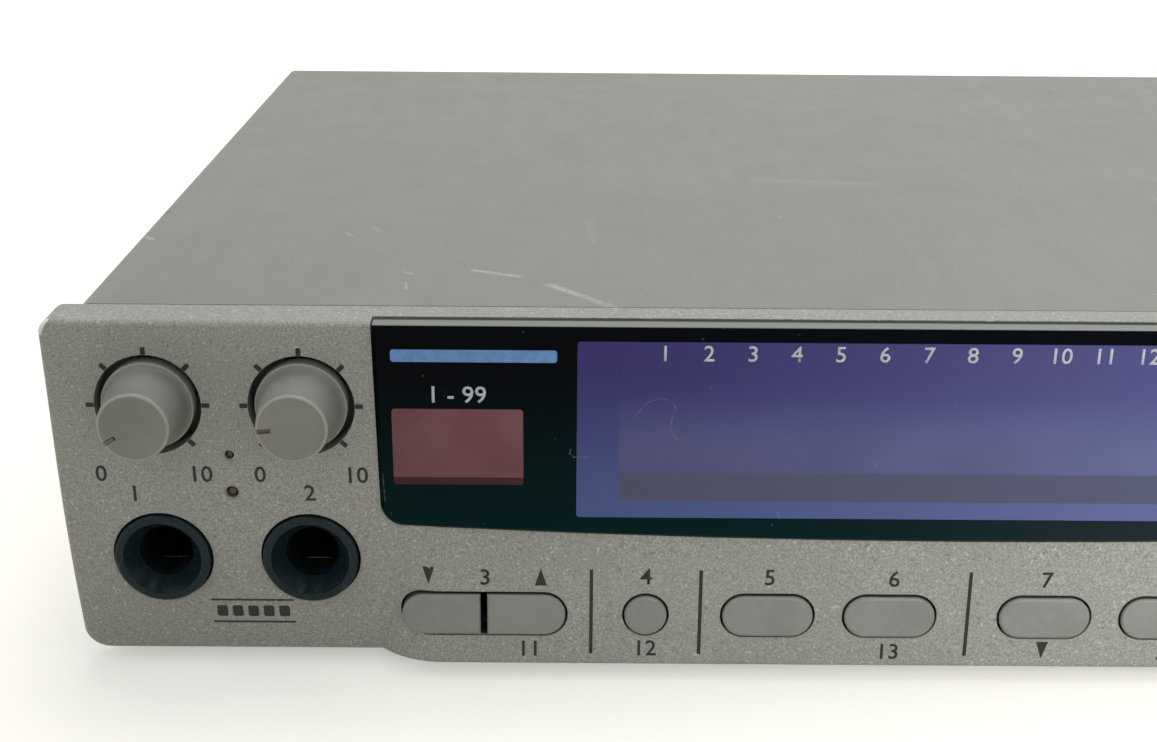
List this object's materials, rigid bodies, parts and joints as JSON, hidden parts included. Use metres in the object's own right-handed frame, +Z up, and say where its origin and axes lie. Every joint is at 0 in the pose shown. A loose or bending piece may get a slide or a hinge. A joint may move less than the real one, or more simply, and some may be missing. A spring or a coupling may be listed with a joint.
{
  "type": "rack effects unit",
  "caption": "Half-width rack effects unit with a sculpted moulded front, display lens, knobs, plug sockets and push buttons on a folded steel case.",
  "frame": {"origin": "on the surface the feet stand on, under the middle of the whole unit", "axes": "+X to the right seen from the front, +Y from the front to the back, +Z up"},
  "size_m": [0.218, 0.1658, 0.046],
  "materials": {
    "fascia_paint": "fine metallic grey paint on a moulding",
    "black_gloss": "polished black acrylic",
    "red_window": "polished dull red acrylic",
    "blue_window": "polished violet-blue acrylic",
    "tape": "foam tape",
    "knob_grey": "matte grey moulding",
    "button_grey": "satin grey moulding",
    "black_plastic": "glossy black moulding",
    "cover_paint": "satin grey paint on folded steel",
    "bright_metal": "plain plated metal",
    "dark_screw": "black zinc",
    "contact_brass": "bare brass strip",
    "lamp_clear": "tinted epoxy lamp",
    "feet_rubber": "soft black rubber",
    "board_green": "lacquered circuit board",
    "chip_black": "epoxy and sleeving",
    "sink_metal": "plain aluminium",
    "cable_grey": "grey flat cable"
  },
  "bodies": {
    "root": {"front_fascia": "fascia_paint", "display_lens": "black_gloss", "lens_tape": "tape", "patch_window": "red_window", "lcd_window": "blue_window", "led_display": "black_plastic", "lcd_module": "bright_metal", "lamps": "lamp_clear", "input_pot": "bright_metal", "phones_pot": "bright_metal", "input_jack": "black_plastic", "phones_jack": "black_plastic", "jack_contacts": "contact_brass", "tact_switches": "black_plastic", "power_switch": "black_plastic", "chassis_tray": "cover_paint", "top_cover": "cover_paint", "rack_nuts": "bright_metal", "rubber_feet": "feet_rubber", "cover_screws": "dark_screw", "inner_screws": "bright_metal", "spacers": "bright_metal", "front_board": "board_green", "side_boards": "board_green", "main_board": "board_green", "processor_chips": "chip_black", "capacitors": "chip_black", "heat_sink": "sink_metal", "regulator": "chip_black", "backup_cell": "sink_metal", "ribbon_plugs": "black_plastic", "ribbon_cable": "cable_grey", "jack_nuts": "black_plastic", "level_switch": "bright_metal", "dc_inlet": "black_plastic", "cord_hook": "black_plastic", "left_input_jack": "black_plastic", "right_input_jack": "black_plastic", "left_output_jack": "black_plastic", "right_output_jack": "black_plastic", "pedal_jack": "black_plastic", "midi_out_socket": "black_plastic", "midi_in_socket": "black_plastic"},
    "input_knob": {"input_knob": "knob_grey", "input_shaft": "bright_metal"},
    "phones_knob": {"phones_knob": "knob_grey", "phones_shaft": "bright_metal"},
    "power_button": {"power_button": "button_grey"},
    "level_slider": {"level_slider": "black_plastic"},
    "patch_down_button": {"patch_down_button": "button_grey"},
    "patch_up_button": {"patch_up_button": "button_grey"},
    "store_button": {"store_button": "button_grey"},
    "exit_button": {"exit_button": "button_grey"},
    "utility_button": {"utility_button": "button_grey"},
    "page_down_button": {"page_down_button": "button_grey"},
    "page_up_button": {"page_up_button": "button_grey"},
    "bypass_button": {"bypass_button": "button_grey"},
    "value_down_button": {"value_down_button": "button_grey"},
    "value_up_button": {"value_up_button": "button_grey"}
  },
  "joints": [
    {"name": "input_knob_turn", "type": "hinge", "parent": "root", "child": "input_knob", "pos_m": [-0.09715, -0.07608, 0.03575], "axis": [0, 1, 0], "range_deg": [-15, 255]},
    {"name": "phones_knob_turn", "type": "hinge", "parent": "root", "child": "phones_knob", "pos_m": [-0.0794, -0.07608, 0.03575], "axis": [0, 1, 0], "range_deg": [-40, 230]},
    {"name": "patch_down_button_press", "type": "slide", "parent": "root", "child": "patch_down_button", "axis": [0, 1, 0], "range_m": [0, 0.0005], "stiffness_N_per_m": 200},
    {"name": "patch_up_button_press", "type": "slide", "parent": "root", "child": "patch_up_button", "axis": [0, 1, 0], "range_m": [0, 0.0005], "stiffness_N_per_m": 200},
    {"name": "store_button_press", "type": "slide", "parent": "root", "child": "store_button", "axis": [0, 1, 0], "range_m": [0, 0.0005], "stiffness_N_per_m": 200},
    {"name": "exit_button_press", "type": "slide", "parent": "root", "child": "exit_button", "axis": [0, 1, 0], "range_m": [0, 0.0005], "stiffness_N_per_m": 200},
    {"name": "utility_button_press", "type": "slide", "parent": "root", "child": "utility_button", "axis": [0, 1, 0], "range_m": [0, 0.0005], "stiffness_N_per_m": 200},
    {"name": "page_down_button_press", "type": "slide", "parent": "root", "child": "page_down_button", "axis": [0, 1, 0], "range_m": [0, 0.0005], "stiffness_N_per_m": 200},
    {"name": "page_up_button_press", "type": "slide", "parent": "root", "child": "page_up_button", "axis": [0, 1, 0], "range_m": [0, 0.0005], "stiffness_N_per_m": 200},
    {"name": "bypass_button_press", "type": "slide", "parent": "root", "child": "bypass_button", "axis": [0, 1, 0], "range_m": [0, 0.0005], "stiffness_N_per_m": 200},
    {"name": "value_down_button_press", "type": "slide", "parent": "root", "child": "value_down_button", "axis": [0, 1, 0], "range_m": [0, 0.0005], "stiffness_N_per_m": 200},
    {"name": "value_up_button_press", "type": "slide", "parent": "root", "child": "value_up_button", "axis": [0, 1, 0], "range_m": [0, 0.0005], "stiffness_N_per_m": 200},
    {"name": "power_button_press", "type": "slide", "parent": "root", "child": "power_button", "axis": [0, 1, 0], "range_m": [0, 0.0018], "stiffness_N_per_m": 250},
    {"name": "level_slider_shift", "type": "slide", "parent": "root", "child": "level_slider", "axis": [1, 0, 0], "range_m": [0, 0.003]}
  ]
}
